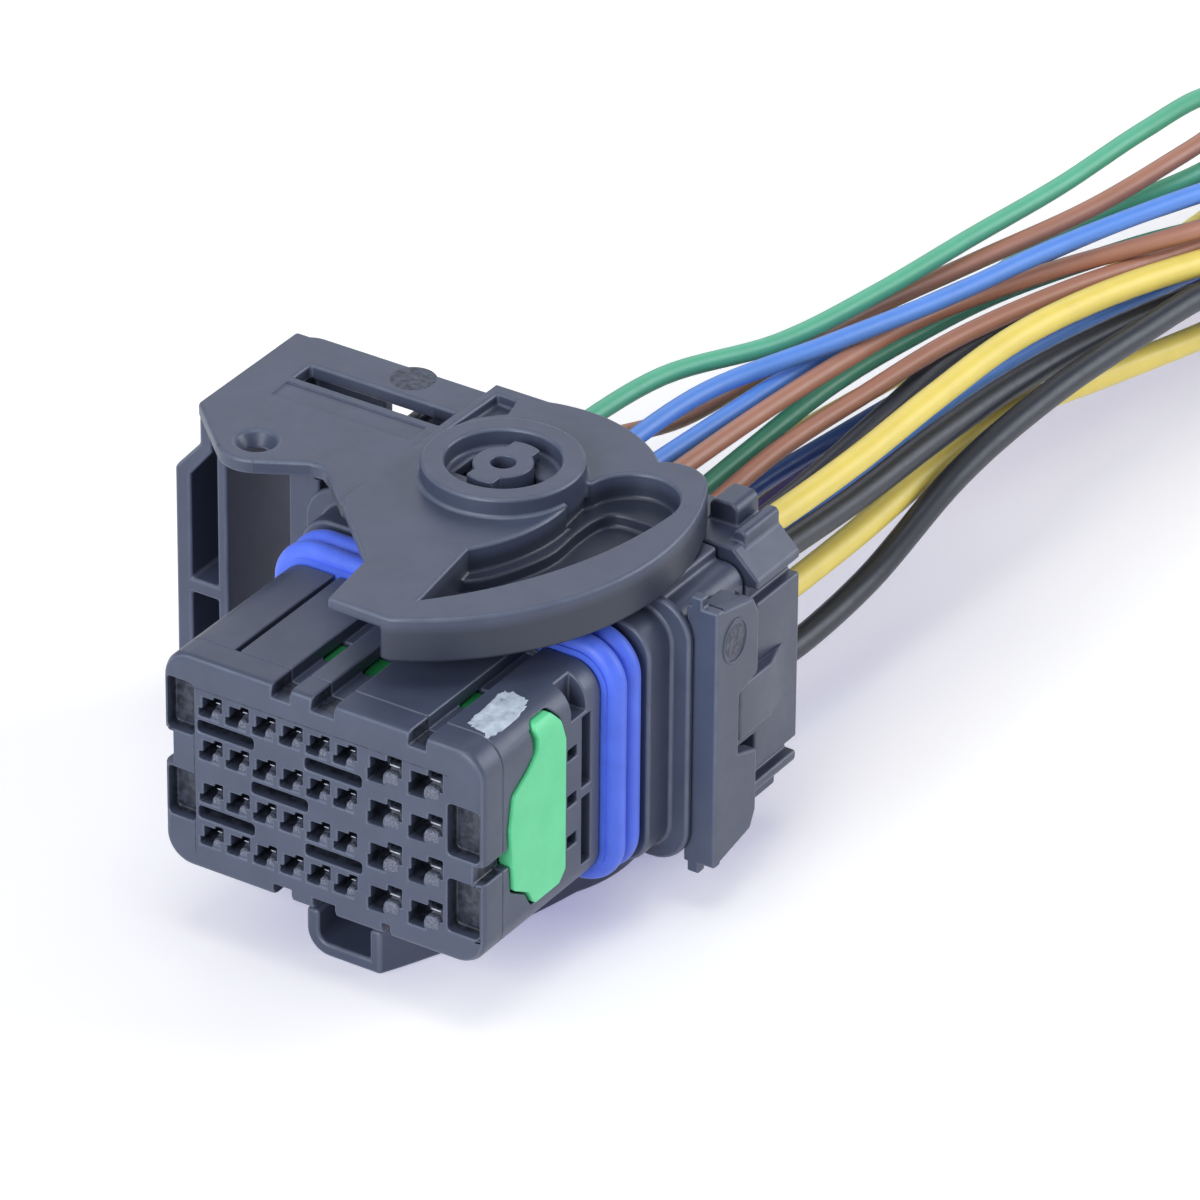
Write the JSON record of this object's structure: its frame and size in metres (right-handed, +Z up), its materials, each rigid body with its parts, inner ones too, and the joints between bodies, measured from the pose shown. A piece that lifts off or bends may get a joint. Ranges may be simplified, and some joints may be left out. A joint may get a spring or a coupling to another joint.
{
  "type": "engine control unit connector",
  "caption": "Sealed rectangular cable plug with stepped contact openings, a soft perimeter seal, a turning cam lever that draws it into its header, a sliding contact lock and coloured wires.",
  "frame": {"origin": "centre of the plug's mating face", "axes": "+X across the face, away from the lever's handle; +Y from the mating face towards the wires; +Z up"},
  "size_m": [0.0617, 0.2082, 0.0404],
  "materials": {
    "black_plastic": "fine moulded texture, satin",
    "green_plastic": "satin",
    "seal_rubber": "matte silicone",
    "mat_rubber": "matte silicone",
    "contact_tin": "tin plated",
    "wire_green": "satin insulation",
    "wire_dark_green": "satin insulation",
    "wire_brown": "satin insulation",
    "wire_blue": "satin insulation",
    "wire_navy": "satin insulation",
    "wire_yellow": "satin insulation",
    "wire_dull_yellow": "satin insulation",
    "wire_violet": "satin insulation",
    "wire_black": "satin insulation"
  },
  "bodies": {
    "housing": {"front_cover": "black_plastic", "receptacle": "black_plastic", "flange_block": "black_plastic", "strap_left": "black_plastic", "strap_right": "black_plastic", "upper_pivot": "black_plastic", "lower_pivot": "black_plastic", "perimeter_seal": "seal_rubber", "wire_seal": "mat_rubber", "rear_cap": "black_plastic", "contact_01": "contact_tin", "contact_02": "contact_tin", "contact_03": "contact_tin", "contact_04": "contact_tin", "contact_05": "contact_tin", "contact_06": "contact_tin", "contact_07": "contact_tin", "contact_08": "contact_tin", "contact_09": "contact_tin", "contact_10": "contact_tin", "contact_11": "contact_tin", "contact_12": "contact_tin", "contact_13": "contact_tin", "contact_14": "contact_tin", "contact_15": "contact_tin", "contact_16": "contact_tin", "contact_17": "contact_tin", "contact_18": "contact_tin", "wire_01": "wire_green", "wire_02": "wire_brown", "wire_03": "wire_blue", "wire_04": "wire_blue", "wire_05": "wire_brown", "wire_06": "wire_dark_green", "wire_07": "wire_yellow", "wire_08": "wire_brown", "wire_09": "wire_navy", "wire_10": "wire_dull_yellow", "wire_11": "wire_violet", "wire_12": "wire_black", "wire_13": "wire_blue", "wire_14": "wire_yellow", "wire_15": "wire_black", "wire_16": "wire_yellow", "wire_17": "wire_black", "wire_18": "wire_green"},
    "lever": {"lever": "black_plastic"},
    "lock": {"secondary_lock": "green_plastic"}
  },
  "joints": [
    {"name": "lever_turn", "type": "hinge", "parent": "housing", "child": "lever", "pos_m": [-0.0015, 0.0325, 0], "axis": [0, 0, -1], "range_deg": [0, 40]},
    {"name": "lock_slide", "type": "slide", "parent": "housing", "child": "lock", "axis": [1, 0, 0], "range_m": [0, 0.001]}
  ]
}
